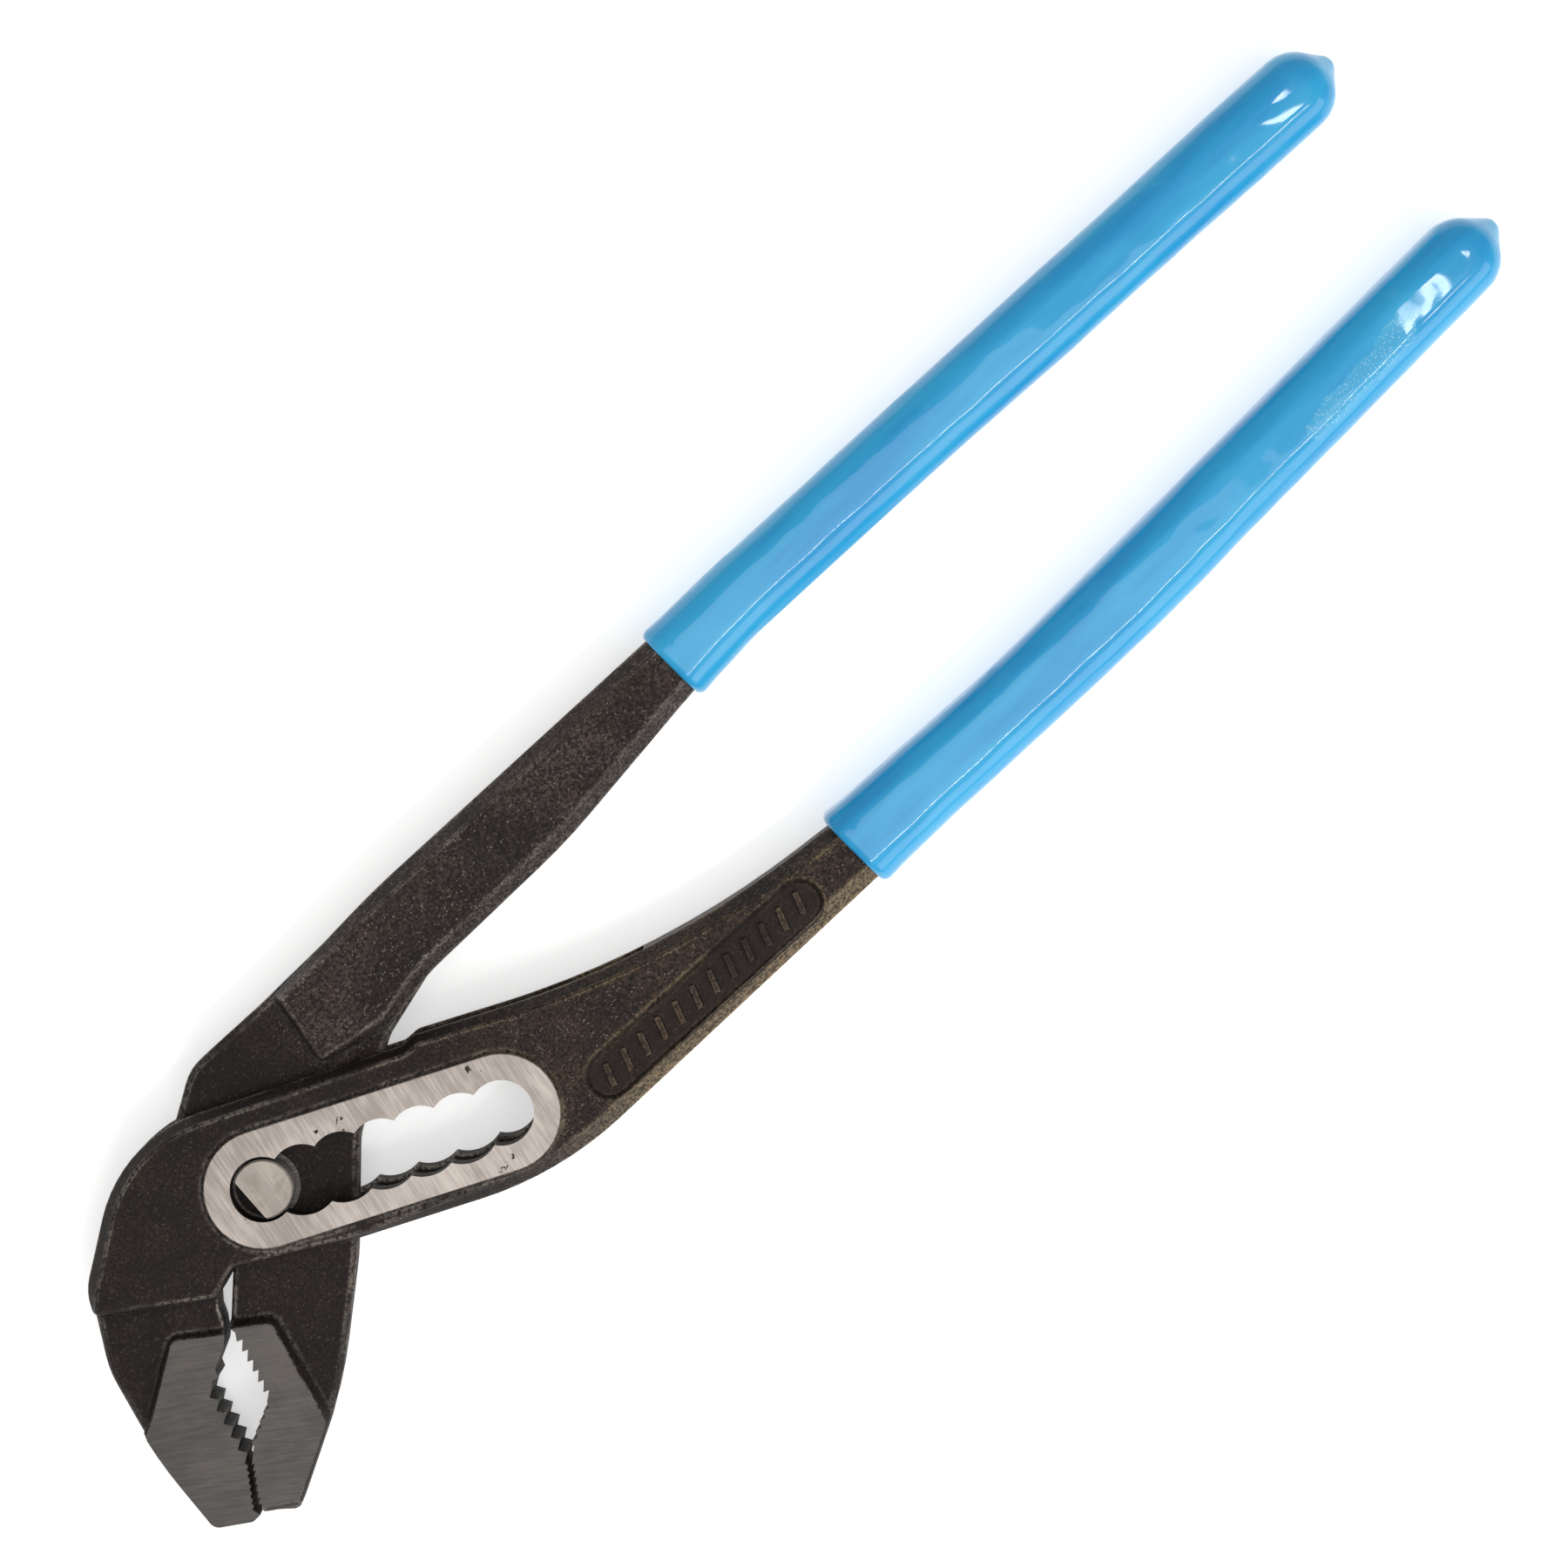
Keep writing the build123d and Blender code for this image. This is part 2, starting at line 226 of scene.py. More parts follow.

# %% [markdown]
# The second shared effect is the skin of a forging: hot steel pressed in a die comes out with a fine
# pebbled scale, not a brushed or polished face. Two sizes of noise make the pebbles, and a cell pattern
# picks a few grains that are painted pale as painted glints, where light would catch them. One input
# fades the coarse skin into a smoother one, as on the thin blade.

# %% Forged skin group
PEBBLE_SCALE = 3000.0
LUMP_SCALE = 0.16 * PEBBLE_SCALE
FLECK_SCALE = 0.8 * PEBBLE_SCALE
CHOICE_SCALE = 0.5 * PEBBLE_SCALE
SHADE_SCALE = 0.72 * PEBBLE_SCALE
TINT_SCALE = 150.0
STAIN_SCALE = 62.0
PEBBLE_SHARE = 0.75
LUMP_SHARE = 0.5
SMOOTH_SHARE = 0.35


def make_forged_skin():
    outputs = ["Height", "Painted Glints", "Pebbles", "Tint", "Stain"]
    tree, given, result = new_group("forged_skin", {"Coarse": 1.0}, outputs)
    where = own_place(tree)
    fade = ramp(tree, given["Coarse"], 0.0, 1.0, SMOOTH_SHARE, 1.0)
    pebbles = product(tree, grain(tree, where, PEBBLE_SCALE, 3.0, 0.7), PEBBLE_SHARE)
    lumps = product(tree, grain(tree, where, LUMP_SCALE, 2.0, 0.5), LUMP_SHARE)
    cells = add(tree, "TexVoronoi", Vector=where, Scale=FLECK_SCALE)
    flecks = ramp(tree, cells.outputs["Distance"], 0.42, 0.08)
    chosen = ramp(tree, grain(tree, where, CHOICE_SCALE, 1.0), 0.50, 0.62)
    fill(tree, result, {
        "Height": product(tree, total(tree, pebbles, lumps), fade),
        "Painted Glints": product(tree, flecks, chosen, fade),
        "Pebbles": ramp(tree, grain(tree, where, SHADE_SCALE, 3.0, 0.75), 0.40, 0.62),
        "Tint": ramp(tree, grain(tree, where, TINT_SCALE, 4.0, 0.7), 0.38, 0.62),
        "Stain": ramp(tree, grain(tree, where, STAIN_SCALE, 4.0, 0.6), 0.38, 0.66),
    })
    return tree


FORGED_SKIN = make_forged_skin()
print("group", FORGED_SKIN.name)

# %% [markdown]
# The third is grinding. A surface grinder leaves straight, very fine scratches in one direction. Noise
# that is squeezed across that direction and drawn out along it gives them, and two widths keep them from
# looking ruled. The ring and the jaw plates were ground in different set-ups, so each has a direction of
# its own.

# %% Grinding group
RING_MARKS = math.radians(-102)
PLATE_MARKS = math.radians(-38)
FINE_SCRATCHES = (190, 3600, 190)
BROAD_SCRATCHES = (110, 1300, 110)
BROAD_TURN = 0.08
CLOUD_SCALE = 95.0
PIT_SCALE = 400.0
FINE_SHARE = 0.55
SCRATCH_SHARE = 0.6


def make_grinding(name, angle):
    tree, given, result = new_group(name, {"Pit Size": 1.0}, ["Height", "Shade", "Pits"])
    where = own_place(tree)
    fine = grain(tree, stretched(tree, where, angle, FINE_SCRATCHES), 1.0, 2.0, 0.6)
    broad = grain(tree, stretched(tree, where, angle + BROAD_TURN, BROAD_SCRATCHES), 1.0, 3.0, 0.6)
    cloudy = grain(tree, where, CLOUD_SCALE, 3.0, 0.6)
    both = total(tree, product(tree, fine, FINE_SHARE), product(tree, broad, 1 - FINE_SHARE))
    shade = total(tree, product(tree, both, SCRATCH_SHARE), product(tree, cloudy, 1 - SCRATCH_SHARE))
    blots = product(tree, grain(tree, where, PIT_SCALE, 3.0, 0.7), given["Pit Size"])
    fill(tree, result, {
        "Height": both,
        "Shade": ramp(tree, shade, 0.38, 0.62),
        "Pits": ramp(tree, blots, 0.665, 0.70),
    })
    return tree


RING_GRINDING = make_grinding("grinding_ring", RING_MARKS)
PLATE_GRINDING = make_grinding("grinding_plate", PLATE_MARKS)
print("groups", RING_GRINDING.name, PLATE_GRINDING.name)

# %% [markdown]
# Each material is one Principled shader. These helpers make the material, put one of the shared groups
# into it, and lay one bump over another.

# %% Material helpers
def new_material(name, **values):
    material = bpy.data.materials.new(name)
    material.use_nodes = True
    tree = material.node_tree
    shader = tree.nodes["Principled BSDF"]
    fill(tree, shader, {socket.replace("_", " "): value for socket, value in values.items()})
    return material, tree, shader


def place_group(tree, group, **values):
    node = add(tree, "Group", {"node_tree": group}, **values)
    return node.outputs


def bump(tree, height, strength, distance, under=None):
    node = add(tree, "Bump", Height=height, Strength=strength, Distance=distance)
    if under is not None:
        fill(tree, node, {"Normal": under})
    return node.outputs["Normal"]


print("material helpers ready")

# %% [markdown]
# The skin of a lever is cool and dark on the head and warmer on the handle, darkest between its pebbles.
# Edges are polished by wear, the side of the handle that faces the key light gets a painted sheen, inner
# corners get painted shade, and the sunk panel is browner than the rest with painted shade along its rim.

# %% Forged colours
FORGED_DARK = (0.0085, 0.0068, 0.0062, 1)
FORGED_RED = (0.034, 0.019, 0.015, 1)
FORGED_GOLD = (0.092, 0.058, 0.038, 1)
FORGED_GREY = (0.080, 0.058, 0.050, 1)
FORGED_UMBER = (0.050, 0.031, 0.025, 1)
# Pale colour of the painted glints on a few grains.
PAINTED_GLINT = (0.25, 0.21, 0.17, 1)
# Colours of worn edges, also used as a painted sheen on the handle's side that faces the key light.
WEAR_AND_SHEEN_STEEL = (0.40, 0.35, 0.30, 1)
WEAR_AND_SHEEN_BRONZE = (0.40, 0.30, 0.17, 1)
PANEL_BROWN = (0.020, 0.0110, 0.0105, 1)
# Painted shade, laid into inner corners and along the panel's rim.
PAINTED_SHADE = (0.003, 0.0025, 0.0025, 1)
PANEL = ((44.1 * MM, -22.3 * MM, 0), (78.6 * MM, -24.1 * MM, 0))
PANEL_RADIUS = 3.4 * MM
PANEL_SHARE = 0.8
EDGE_SHARE = 0.85
STAIN_SHARE = 0.55
GLINT_SHARE = 0.72
DOWNWARD = (-0.12, -0.5)


def forged_color(tree, skin, coarse, handle_color):
    warm = blend_colors(tree, skin["Tint"], handle_color, FORGED_UMBER)
    cool = blend_colors(tree, skin["Tint"], FORGED_DARK, FORGED_RED)
    base = blend_colors(tree, ramp(tree, coarse, 0.0, 1.0, 0.15, 0.95), cool, warm)
    base = blend_colors(tree, product(tree, skin["Stain"], STAIN_SHARE), base, FORGED_DARK)
    raised = ramp(tree, skin["Pebbles"], 0.0, 1.0, 0.1, 1.0)
    pebbled = blend_colors(tree, raised, FORGED_DARK, base)
    # Painted glints: a few grains are painted pale in the colour.
    return blend_colors(tree, product(tree, skin["Painted Glints"], GLINT_SHARE), pebbled, PAINTED_GLINT)


def key_side_sheen(tree, skin, coarse, share):
    """How much painted sheen lies on the pebbles on the side of the handle that faces down along Y, towards
    the key light.
    """
    slope = part_of(tree, add(tree, "TexCoord").outputs["Normal"], "Y")
    raised = ramp(tree, skin["Pebbles"], 0.1, 0.9, 0.2, 1.0)
    return product(tree, coarse, share, ramp(tree, slope, *DOWNWARD), raised)


def sink_panel(tree, where, panel, color, worn_share):
    """The skin's colour and its wear with the panel laid into them, and painted shade along the panel's rim.
    """
    away = segment_distance(tree, where, *panel)
    inside = ramp(tree, away, PANEL_RADIUS + 0.1 * MM, PANEL_RADIUS)
    rim = ramp(tree, away, PANEL_RADIUS - 0.9 * MM, PANEL_RADIUS - 0.3 * MM)
    color = blend_colors(tree, product(tree, inside, PANEL_SHARE), color, PANEL_BROWN)
    # Painted shade: a dark band just inside the rim of the sunk panel.
    color = blend_colors(tree, product(tree, inside, rim, PANEL_SHARE), color, PAINTED_SHADE)
    return color, product(tree, worn_share, ramp(tree, inside, 0.0, 1.0, 1.0, 0.3))


print("forged colours ready")

# %% [markdown]
# A lever shows three finishes on one solid: the dark forged skin, the pale ground ring and the grey
# ground side plates of its jaw. All three are told apart by where they lie. The ring is the only face at
# the very top and bottom of the tool, and a plate is a flat at its own height on the jaw side of a line.
# So masks from Object coordinates mix the finishes inside one material, and the solid stays whole.

# %% Lever materials
RING_PALE = (0.50, 0.445, 0.40, 1)
RING_SHADE = (0.27, 0.235, 0.21, 1)
RING_PIT = (0.018, 0.015, 0.012, 1)
RING_HEIGHT = RING_TOP - 0.08 * MM
PLATE_GREY = (0.100, 0.089, 0.081, 1)
PLATE_SHADE = (0.062, 0.056, 0.052, 1)
PLATE_HEIGHT = 4.26 * MM
PLATE_LINE = (0.612, 0.791, -16.5 * MM)
SKIN_ROUGHNESS = (0.3, 0.8, 0.66, 0.44)
GROUND_ROUGHNESS = (0.3, 0.7, 0.42, 0.52)
GROUND_DEPTH = 0.03
SKIN_BUMP = (0.8, 0.32 * MM)


def plate_mask(tree, where):
    """1 on the flat side plates of the jaw, which lie beyond a line and at one height."""
    point = add(tree, "SeparateXYZ", Vector=where).outputs
    across = total(tree, product(tree, point["X"], PLATE_LINE[0]), product(tree, point["Y"], PLATE_LINE[1]))
    beyond = calc(tree, "LESS_THAN", across, PLATE_LINE[2])
    level = calc(tree, "GREATER_THAN", height_above_middle(tree, where), PLATE_HEIGHT)
    return product(tree, beyond, level)


def lever_material(name, coarse_from, coarse_to, handle_color, wear_and_sheen_color, sheen_share, panel=None):
    material, tree, shader = new_material(name, Metallic=0.5, Specular_IOR_Level=0.32)
    where = own_place(tree)
    coarse = ramp(tree, part_of(tree, where, "X"), coarse_from, coarse_to)
    skin = place_group(tree, FORGED_SKIN, Coarse=coarse)
    wear = place_group(tree, EDGE_WEAR_AND_SHADE)
    ring_marks = place_group(tree, RING_GRINDING)
    plate_marks = place_group(tree, PLATE_GRINDING)

    wear_and_sheen = blend_colors(tree, coarse, WEAR_AND_SHEEN_STEEL, wear_and_sheen_color)
    color = forged_color(tree, skin, coarse, handle_color)
    # Painted sheen: the handle's side that faces the key light is lightened in the colour.
    color = blend_colors(tree, key_side_sheen(tree, skin, coarse, sheen_share), color, wear_and_sheen)
    worn_share = product(tree, wear["Worn"], EDGE_SHARE)
    if panel:
        color, worn_share = sink_panel(tree, where, panel, color, worn_share)
    color = blend_colors(tree, worn_share, color, wear_and_sheen)
    # Painted shade: inner corners are darkened in the colour.
    color = blend_colors(tree, product(tree, wear["Corner Shade"], EDGE_SHARE), color, PAINTED_SHADE)

    ring = calc(tree, "GREATER_THAN", height_above_middle(tree, where), RING_HEIGHT)
    ring_steel = blend_colors(tree, ring_marks["Shade"], RING_SHADE, RING_PALE)
    ring_steel = blend_colors(tree, ring_marks["Pits"], ring_steel, RING_PIT)
    plate = plate_mask(tree, where)
    plate_steel = blend_colors(tree, plate_marks["Shade"], PLATE_SHADE, PLATE_GREY)
    color = blend_colors(tree, plate, color, plate_steel)

    ground = calc(tree, "MAXIMUM", ring, plate)
    rough_skin = ramp(tree, skin["Height"], *SKIN_ROUGHNESS)
    rough_ground = ramp(tree, ring_marks["Height"], *GROUND_ROUGHNESS)
    forged_height = product(tree, skin["Height"], calc(tree, "SUBTRACT", 1.0, ground))
    ground_height = product(tree, ring_marks["Height"], product(tree, ground, GROUND_DEPTH))
    height = total(tree, forged_height, ground_height)
    fill(tree, shader, {
        "Base Color": blend_colors(tree, ring, color, ring_steel),
        "Roughness": add(tree, "Mix", Factor=ground, A=rough_skin, B=rough_ground).outputs["Result"],
        "Normal": bump(tree, height, *SKIN_BUMP),
    })
    return material


SLOTTED_STEEL = lever_material("forged_steel_slotted", coarse_from=18 * MM, coarse_to=50 * MM,
                               handle_color=FORGED_GOLD, wear_and_sheen_color=WEAR_AND_SHEEN_BRONZE,
                               sheen_share=0.36, panel=PANEL)
INNER_STEEL = lever_material("forged_steel_inner", coarse_from=12 * MM, coarse_to=20 * MM,
                             handle_color=FORGED_GREY, wear_and_sheen_color=WEAR_AND_SHEEN_STEEL, sheen_share=0.12)
print("materials", SLOTTED_STEEL.name, INNER_STEEL.name)

# %% [markdown]
# The pin is ground flush with the ring, and its end shows the same fine lines with a faint olive stain.
# The shims are rolled sheet with a dark base colour, and they show only as a thin arc around the pin.

# %% Pin and shim materials
PIN_PALE = (0.40, 0.355, 0.31, 1)
PIN_SHADE = (0.26, 0.23, 0.20, 1)
PIN_STAIN = (0.17, 0.155, 0.11, 1)
PIN_ROUGHNESS = (0.3, 0.7, 0.36, 0.5)
PIN_BUMP = (0.25, 0.03 * MM)
PIN_PITS = 0.94
PIN_EDGE = 0.4 * MM
SHIM_STEEL = (0.045, 0.042, 0.040, 1)
SHIM_BRIGHT = (0.15, 0.14, 0.13, 1)
SHIM_ROUGHNESS = (0.3, 0.7, 0.3, 0.42)
SHIM_BUMP = (0.2, 0.02 * MM)
ROLLING_MARKS = (300, 4200, 300)
OLIVE_SCALE = 420.0


def pin_material():
    material, tree, shader = new_material("pin_steel", Metallic=0.6)
    grind = place_group(tree, RING_GRINDING, Pit_Size=PIN_PITS)
    wear = place_group(tree, EDGE_WEAR_AND_SHADE, Radius=PIN_EDGE)
    color = blend_colors(tree, grind["Shade"], PIN_SHADE, PIN_PALE)
    stain = ramp(tree, grain(tree, own_place(tree), OLIVE_SCALE, 3.0, 0.6), 0.5, 0.72)
    color = blend_colors(tree, product(tree, stain, 0.5), color, PIN_STAIN)
    fill(tree, shader, {
        "Base Color": blend_colors(tree, wear["Worn"], color, PIN_PALE),
        "Roughness": ramp(tree, grind["Height"], *PIN_ROUGHNESS),
        "Normal": bump(tree, grind["Height"], *PIN_BUMP),
    })
    return material


def shim_material():
    material, tree, shader = new_material("shim_steel", Metallic=0.7)
    rolled = grain(tree, stretched(tree, own_place(tree), SLOT_ANGLE, ROLLING_MARKS), 1.0, 2.0)
    fill(tree, shader, {
        "Base Color": blend_colors(tree, ramp(tree, rolled, 0.45, 0.75), SHIM_STEEL, SHIM_BRIGHT),
        "Roughness": ramp(tree, rolled, *SHIM_ROUGHNESS),
        "Normal": bump(tree, rolled, *SHIM_BUMP),
    })
    return material


PIN_STEEL = pin_material()
SHIM = shim_material()
print("materials", PIN_STEEL.name, SHIM.name)

# %% [markdown]
# Dipped vinyl is a thick, glossy, slightly soft skin. Its colour comes from deep in the layer, so a
# little subsurface light softens it, and a clear coat gives the long tight highlight. Handling leaves
# faint dull patches and hairlines, and the coat flows in long low waves before it sets.

# %% Vinyl material
VINYL_BLUE = (0.021, 0.345, 0.625, 1)
VINYL_DEEP = (0.012, 0.272, 0.565, 1)
VINYL_WORN = (0.075, 0.415, 0.655, 1)
# Pale colour of the painted glints on the imprint's dots.
PAINTED_DOT_GLINT = (0.380, 0.680, 0.830, 1)
IMPRINT = ((173.5 * MM, -28.0 * MM, 0), (192.0 * MM, -26.8 * MM, 0))
IMPRINT_RADIUS = 3.4 * MM
IMPRINT_EDGE = 0.5 * MM
RAGGEDNESS = 3.0 * MM
RAGGED_SCALE = 210.0
DOT_SCALE = 2300.0
MOTTLE_SCALE = 700.0
RUB_SCALE = 85.0
FLOW_SCALES = (45, 260, 260)
HAIRLINES = (500, 4200, 4200)
HAIRLINE_TURN = 0.15
VINYL_ROUGHNESS = (0.0, 0.8, 0.33, 0.5)
VINYL_COAT = (0.0, 0.7, 0.6, 0.2)
MOTTLE_BUMP = (0.12, 0.08 * MM)
DOT_BUMP = (0.35, 0.1 * MM)
FLOW_BUMP = (0.35, 0.5 * MM)


def vinyl_imprint(tree, where):
    """1 on the long patch where the soft grip took the texture of what it lay on, on the front only."""
    away = segment_distance(tree, where, *IMPRINT)
    ragged = total(tree, away, product(tree, grain(tree, where, RAGGED_SCALE, 3.0), RAGGEDNESS))
    front = calc(tree, "GREATER_THAN", part_of(tree, where, "Z"), MIDDLE_Z)
    return product(tree, ramp(tree, ragged, IMPRINT_RADIUS, IMPRINT_RADIUS - IMPRINT_EDGE), front)


def vinyl_material():
    material, tree, shader = new_material(
        "dipped_vinyl", Subsurface_Weight=0.12, Subsurface_Scale=1.2 * MM, Coat_Roughness=0.035,
        Coat_IOR=1.5, IOR=1.45, Specular_IOR_Level=0.3)
    where = own_place(tree)
    flow = grain(tree, stretched(tree, where, 0.0, FLOW_SCALES), 1.0, 2.0)
    mottle = grain(tree, where, MOTTLE_SCALE, 3.0, 0.6)
    rubbed = product(tree, ramp(tree, grain(tree, where, RUB_SCALE, 4.0, 0.6), 0.54, 0.70), 0.5)
    imprint = vinyl_imprint(tree, where)
    dots = add(tree, "TexVoronoi", Vector=where, Scale=DOT_SCALE).outputs["Distance"]
    dotted = product(tree, imprint, ramp(tree, dots, 0.45, 0.1))
    color = blend_colors(tree, ramp(tree, flow, 0.35, 0.7), VINYL_BLUE, VINYL_DEEP)
    color = blend_colors(tree, product(tree, rubbed, mottle), color, VINYL_WORN)
    color = blend_colors(tree, product(tree, imprint, 0.55), color, VINYL_WORN)
    # Painted glints: the pressed dots are painted pale, on top of their real bump.
    color = blend_colors(tree, product(tree, dotted, 0.5), color, PAINTED_DOT_GLINT)

    scuffs = grain(tree, stretched(tree, where, HAIRLINE_TURN, HAIRLINES), 1.0, 3.0, 0.7)
    dull = total(tree, rubbed, product(tree, ramp(tree, scuffs, 0.62, 0.72), 0.25))
    skin = bump(tree, mottle, *MOTTLE_BUMP)
    pressed = bump(tree, dotted, *DOT_BUMP, skin)
    fill(tree, shader, {
        "Base Color": color,
        "Roughness": ramp(tree, dull, *VINYL_ROUGHNESS),
        "Coat Weight": ramp(tree, dull, *VINYL_COAT),
        "Normal": bump(tree, flow, *FLOW_BUMP, pressed),
    })
    return material


VINYL = vinyl_material()
print("material", VINYL.name)

# %% [markdown]
# CAD nodes keep their meshes and only get their finish. A material goes into the slots that the node
# already has.

# %% Dress the steel
def dress(node_name, material):
    mesh = frame["nodes"][node_name].data
    for index in range(len(mesh.materials)):
        mesh.materials[index] = material
    print(node_name, "wears", material.name, "on", len(mesh.polygons), "faces")


dress("slotted_lever", SLOTTED_STEEL)
dress("inner_lever", INNER_STEEL)
dress("pivot_pin", PIN_STEEL)
dress("shim_front", SHIM)
dress("shim_back", SHIM)

# %% [markdown]
# A dipped grip isn't a machined sleeve: it follows the handle under it, it is thicker where the liquid
# ran, and it has a soft lip and a drop at its end. It could be sculpted, but it is built here as a row
# of rings around a spine. The spine is a parabola through the middles of three sections, and a ray sent
# towards it finds how far out the drawn grip lies, or the steel inside it.

# %% Grip spine and rays
SPINE_INSET = 12 * MM
RAY_START = 20 * MM
NO_HIT = 0.05 * MM


def copied_shape(node_name):
    shape = bmesh.new()
    shape.from_mesh(frame["nodes"][node_name].data)
    return shape


def section_middle(node_name, x):
    """The middle in Y of a node's section at X."""
    shape = copied_shape(node_name)
    whole = shape.verts[:] + shape.edges[:] + shape.faces[:]
    made = bmesh.ops.bisect_plane(shape, geom=whole, plane_co=(x, 0, 0), plane_no=(1, 0, 0))
    ys = [item.co.y for item in made["geom_cut"] if isinstance(item, bmesh.types.BMVert)]
    shape.free()
    return (min(ys) + max(ys)) / 2


def make_spine(node_name):
    """A function that gives the point in the middle of a grip at any X."""
    start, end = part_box(node_name)
    near = start.x + SPINE_INSET
    far = end.x - SPINE_INSET
    first, centre, last = [section_middle(node_name, x) for x in (near, (near + far) / 2, far)]

    def spine(x):
        t = (x - near) / (far - near)
        y = first * (1 - t) * (1 - 2 * t) + centre * 4 * t * (1 - t) + last * t * (2 * t - 1)
        return Vector((x, y, MIDDLE_Z))

    return spine


def make_reach(node_name, spine):
    """A function that tells how far a node's surface lies from the spine in one direction."""
    shape = copied_shape(node_name)
    surface = BVHTree.FromBMesh(shape)
    shape.free()

    def reach_at(x, away):
        hit = surface.ray_cast(spine(x) + away * RAY_START, -away)[0]
        return (hit - spine(x)).length if hit else NO_HIT

    return reach_at


print("grip measures ready")

# %% [markdown]
# The rings lie close together on the lip and on the dome, even between them. The lip rounds off and
# swells a little, low waves run along the coat, and over the dome the skin is drawn tight from the side
# to the hardened drop, which leaves a soft point.

# %% Grip rings
RING_POINTS = 72
LIP_RINGS, BODY_RINGS, DOME_RINGS = 5, 96, 22
LIP_BACK = 0.5 * MM
LIP_LENGTH = 1.1 * MM
LIP_ROUNDING = 0.75 * MM
LIP_SWELL, SWELL_WIDTH = 0.16 * MM, 1.4 * MM
LIP_DEPTHS = (6 * MM, 2 * MM, 0.2 * MM)
LIP_GAP = 0.02 * MM
FULL_FROM = 1.0 * MM
DOME_LENGTH = 8.0 * MM
DOME_BLEND = 1 * MM
TIP_BACK = 0.03 * MM
WAVE = (0.13 * MM, 55, 0.9)
RIPPLE = (0.06 * MM, 210, 2.6)
THINNEST = 0.3 * MM
QUARTER = math.pi / 2


def ring_places(start, end):
    places = [start + LIP_LENGTH * (1 - math.cos(QUARTER * i / LIP_RINGS)) for i in range(LIP_RINGS + 1)]
    run = end - DOME_LENGTH - places[-1]
    places += [places[-1] + run * (i + 1) / BODY_RINGS for i in range(BODY_RINGS)]
    steps = [1 - math.sin(QUARTER * (i + 1) / DOME_RINGS) for i in range(DOME_RINGS - 1)]
    return places + [end - DOME_LENGTH * step for step in steps]


def ring_directions():
    """The ways out from the spine to the points of a ring."""
    circle = bmesh.new()
    bmesh.ops.create_circle(circle, segments=RING_POINTS, radius=1.0)
    bmesh.ops.transform(circle, matrix=Matrix.Rotation(QUARTER, 4, "Y"), verts=circle.verts[:])
    ways = [Vector((0, point.co.y, point.co.z)).normalized() for point in circle.verts]
    circle.free()
    return ways


def stretch_over(profile):
    """The tight outline over a row of (x, reach) points, as if a film were drawn over them."""
    tight = []
    for x, reach in profile:
        spans = [(x0, r0, x1, r1) for x0, r0 in profile for x1, r1 in profile if x0 < x < x1]
        heights = [r0 + (r1 - r0) * (x - x0) / (x1 - x0) for x0, r0, x1, r1 in spans]
        tight.append(max([reach] + heights))
    return tight


def lip_shape(depth):
    """How far the skin swells out behind the lip, less what the rounded lip takes off."""
    swell = LIP_SWELL * math.exp(-((depth - LIP_LENGTH) / SWELL_WIDTH) ** 2)
    rise = min(depth / LIP_LENGTH, 1.0)
    return swell - LIP_ROUNDING * (1 - math.sqrt(max(1 - (1 - rise) ** 2, 0)))


def uneven(x, away, seed, height, pitch_along, pitch_around):
    """One size of the coat's unevenness, in smooth noise along and around the grip."""
    place = Vector((x * pitch_along, away.y * pitch_around + seed, away.z * pitch_around))
    return height * noise.noise(place)


def ring_rows(start, end, ways, outer_reach, inner_reach, seed):
    """Rows of (x, reaches), first on the handle inside the lip, then from the lip to the tip."""
    rows = []
    for depth in LIP_DEPTHS:
        rows.append((start + depth, [inner_reach(start + depth, away) + LIP_GAP for away in ways]))
    places = ring_places(start, end)
    over_dome = [x for x in places if x > end - DOME_LENGTH - DOME_BLEND]
    tight = [stretch_over([(x, outer_reach(x, away)) for x in over_dome]) for away in ways]
    for x in places:
        fade = min(1.0, (end - x) / DOME_LENGTH)
        reaches = []
        for index, away in enumerate(ways):
            if x in over_dome:
                reach = tight[index][over_dome.index(x)]
            else:
                reach = outer_reach(max(x, start + FULL_FROM), away)
            coat = uneven(x, away, seed, *WAVE) + uneven(x, away, seed, *RIPPLE)
            reach += lip_shape(x - start) + coat * fade
            if x > start + LIP_LENGTH:
                reach = max(reach, inner_reach(x, away) + THINNEST)
            reaches.append(reach)
        rows.append((x, reaches))
    return rows


print("ring helpers ready")

# %% [markdown]
# Bridging the rings makes the skin. A fan of triangles closes the tip, and one hidden face closes the
# mouth inside the lip, so that the finished grip is a closed solid with its normals outward.

# %% Build the grips
def finished_object(name, shape, material):
    mesh = bpy.data.meshes.new(name)
    shape.to_mesh(mesh)
    shape.free()
    mesh.materials.append(material)
    made = bpy.data.objects.new(name, mesh)
    bpy.context.scene.collection.objects.link(made)
    return made


def ring_edges(ring):
    """The edges of a ring that join two of its own points."""
    members = set(ring)
    touching = dict.fromkeys(edge for point in ring for edge in point.link_edges)
    return [edge for edge in touching if edge.verts[0] in members and edge.verts[1] in members]


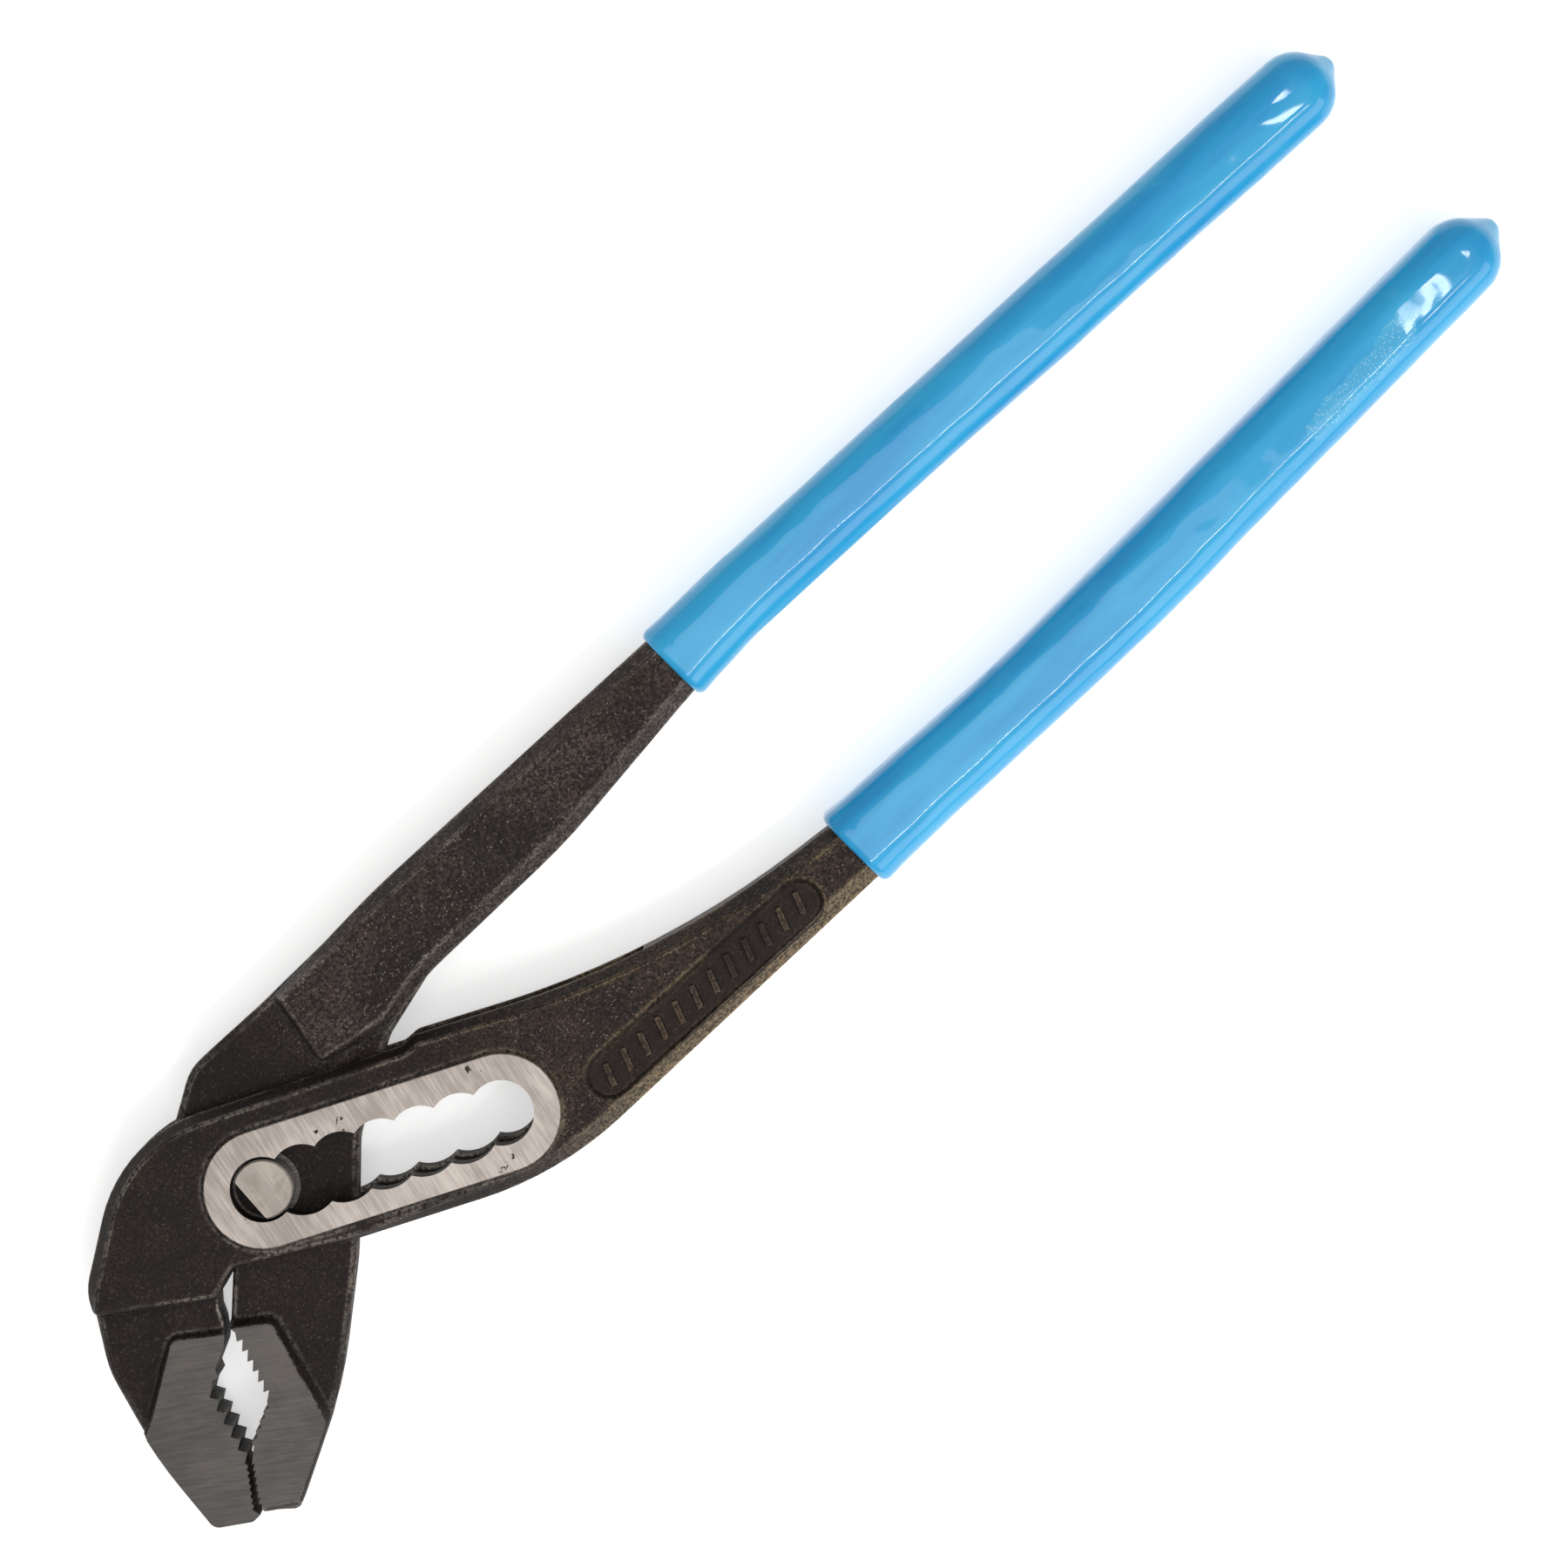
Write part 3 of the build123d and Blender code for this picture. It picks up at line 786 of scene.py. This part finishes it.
def skin_over(rows, ways, spine, end):
    shape = bmesh.new()
    rings = []
    for x, reaches in rows:
        ring = bmesh.ops.create_circle(shape, segments=RING_POINTS, radius=1.0)["verts"]
        for point, away, reach in zip(ring, ways, reaches):
            point.co = spine(x) + away * reach
        rings.append(ring)
    for ring, following in zip(rings, rings[1:]):
        bmesh.ops.bridge_loops(shape, edges=ring_edges(ring) + ring_edges(following))
    tip = shape.verts.new(spine(end))
    for edge in ring_edges(rings[-1]):
        shape.faces.new((edge.verts[0], edge.verts[1], tip))
    bmesh.ops.holes_fill(shape, edges=ring_edges(rings[0]), sides=RING_POINTS)
    bmesh.ops.recalc_face_normals(shape, faces=shape.faces[:])
    for face in shape.faces:
        face.smooth = True
    return shape


def build_grip(name, node_name, lever_name, body, seed):
    spine = make_spine(node_name)
    ways = ring_directions()
    low_corner, high_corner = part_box(node_name)
    start = low_corner.x + LIP_BACK
    end = high_corner.x - TIP_BACK
    outer_reach = make_reach(node_name, spine)
    inner_reach = make_reach(lever_name, spine)
    rows = ring_rows(start, end, ways, outer_reach, inner_reach, seed)
    piece = finished_object(name, skin_over(rows, ways, spine, end), VINYL)
    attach(piece, body)
    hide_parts(node_name)
    print(name, len(piece.data.vertices), "vertices", len(piece.data.polygons), "faces")


build_grip("vinyl_grip_slotted", "grip_slotted", "slotted_lever", "slotted", 3.0)
build_grip("vinyl_grip_inner", "grip_inner", "inner_lever", "inner", 8.0)

# %% [markdown]
# The tool lies on its ring, so the floor is at the height of its lowest point. A real studio sweep has
# no horizon, and a large plain plane gives the same here.

# %% Floor
FLOOR_SIZE = 4.0
FLOOR_GAP = 0.05 * MM
FLOOR_GLOW = 0.48


def make_floor():
    shape = bmesh.new()
    bmesh.ops.create_grid(shape, x_segments=1, y_segments=1, size=FLOOR_SIZE)
    bmesh.ops.translate(shape, vec=(0, 0, low[2] - FLOOR_GAP), verts=shape.verts[:])
    material = new_material("pale_floor", Base_Color=(0.86, 0.86, 0.85, 1), Roughness=0.9,
                            Emission_Color=(1, 1, 1, 1), Emission_Strength=FLOOR_GLOW)[0]
    floor = finished_object("floor", shape, material)
    return floor


print("floor at", round(make_floor().data.vertices[0].co.z / MM, 2), "mm")

# %% [markdown]
# The light is a white tent: an even pale world, a wide softbox overhead that the flat faces mirror, and
# a key softbox on the side of the slotted handle, low enough to pick out every ridge that faces it. A
# thin tube beside it draws the fine line that runs down glossy vinyl, and a small window lights a patch
# near the grips' ends.

# %% Lights
WORLD_LIGHT = 0.44
MIDDLE = Vector(((low[0] + high[0]) / 2, (low[1] + high[1]) / 2, MIDDLE_Z))
SOFTBOX_SIZE = (0.9, 0.5)


def softbox(name, place, aim, size, power):
    light = bpy.data.lights.new(name, "AREA")
    light.shape = "RECTANGLE"
    light.size, light.size_y = size
    light.energy = power
    lamp = bpy.data.objects.new(name, light)
    lamp.location = place
    lamp.rotation_euler = (Vector(aim) - Vector(place)).to_track_quat("-Z", "Y").to_euler()
    bpy.context.scene.collection.objects.link(lamp)


world = bpy.data.worlds.new("studio")
bpy.context.scene.world = world
world.use_nodes = True
background = world.node_tree.nodes["Background"]
fill(world.node_tree, background, {"Color": (1, 1, 1, 1), "Strength": WORLD_LIGHT})
softbox("overhead", place=(MIDDLE.x - 0.1, -0.03, 1.1), aim=MIDDLE, size=SOFTBOX_SIZE, power=2.9)
softbox("key", place=(MIDDLE.x + 0.15, -0.75, 0.42), aim=MIDDLE, size=SOFTBOX_SIZE, power=3.6)
softbox("tube", place=(-0.10, -0.42, 0.85), aim=(-0.10, 0, 0), size=(0.9, 0.026), power=2.6)
softbox("window", place=(0.335, -0.12, 0.9), aim=(0.335, -0.02, 0), size=(0.016, 0.22), power=0.30)
bpy.context.scene.view_settings.view_transform = "Standard"
print("lights", [item.name for item in bpy.data.lights])

# %% [markdown]
# The camera looks straight down with a long lens. Shift moves the frame without tilting the camera, so
# the tool keeps its true outline, and its upright walls lean away from the point right under the camera.

# %% Camera
VIEW_POINT = Vector((0.1094, 0.0181, 0.6148))
TURN = math.radians(-45)
WIDTH_IN_VIEW = 0.2143
SENSOR_WIDTH = 36.0
SHIFT = (0.028, -0.1667)
camera_data = bpy.data.cameras.new("camera")
camera_data.sensor_width = SENSOR_WIDTH
camera_data.lens = SENSOR_WIDTH * (VIEW_POINT.z - MIDDLE_Z) / WIDTH_IN_VIEW
camera_data.shift_x, camera_data.shift_y = SHIFT
camera = bpy.data.objects.new("camera", camera_data)
camera.location = VIEW_POINT
camera.rotation_euler = (0, 0, TURN)
bpy.context.scene.collection.objects.link(camera)
bpy.context.scene.camera = camera
print("lens", round(camera_data.lens, 1), "mm")
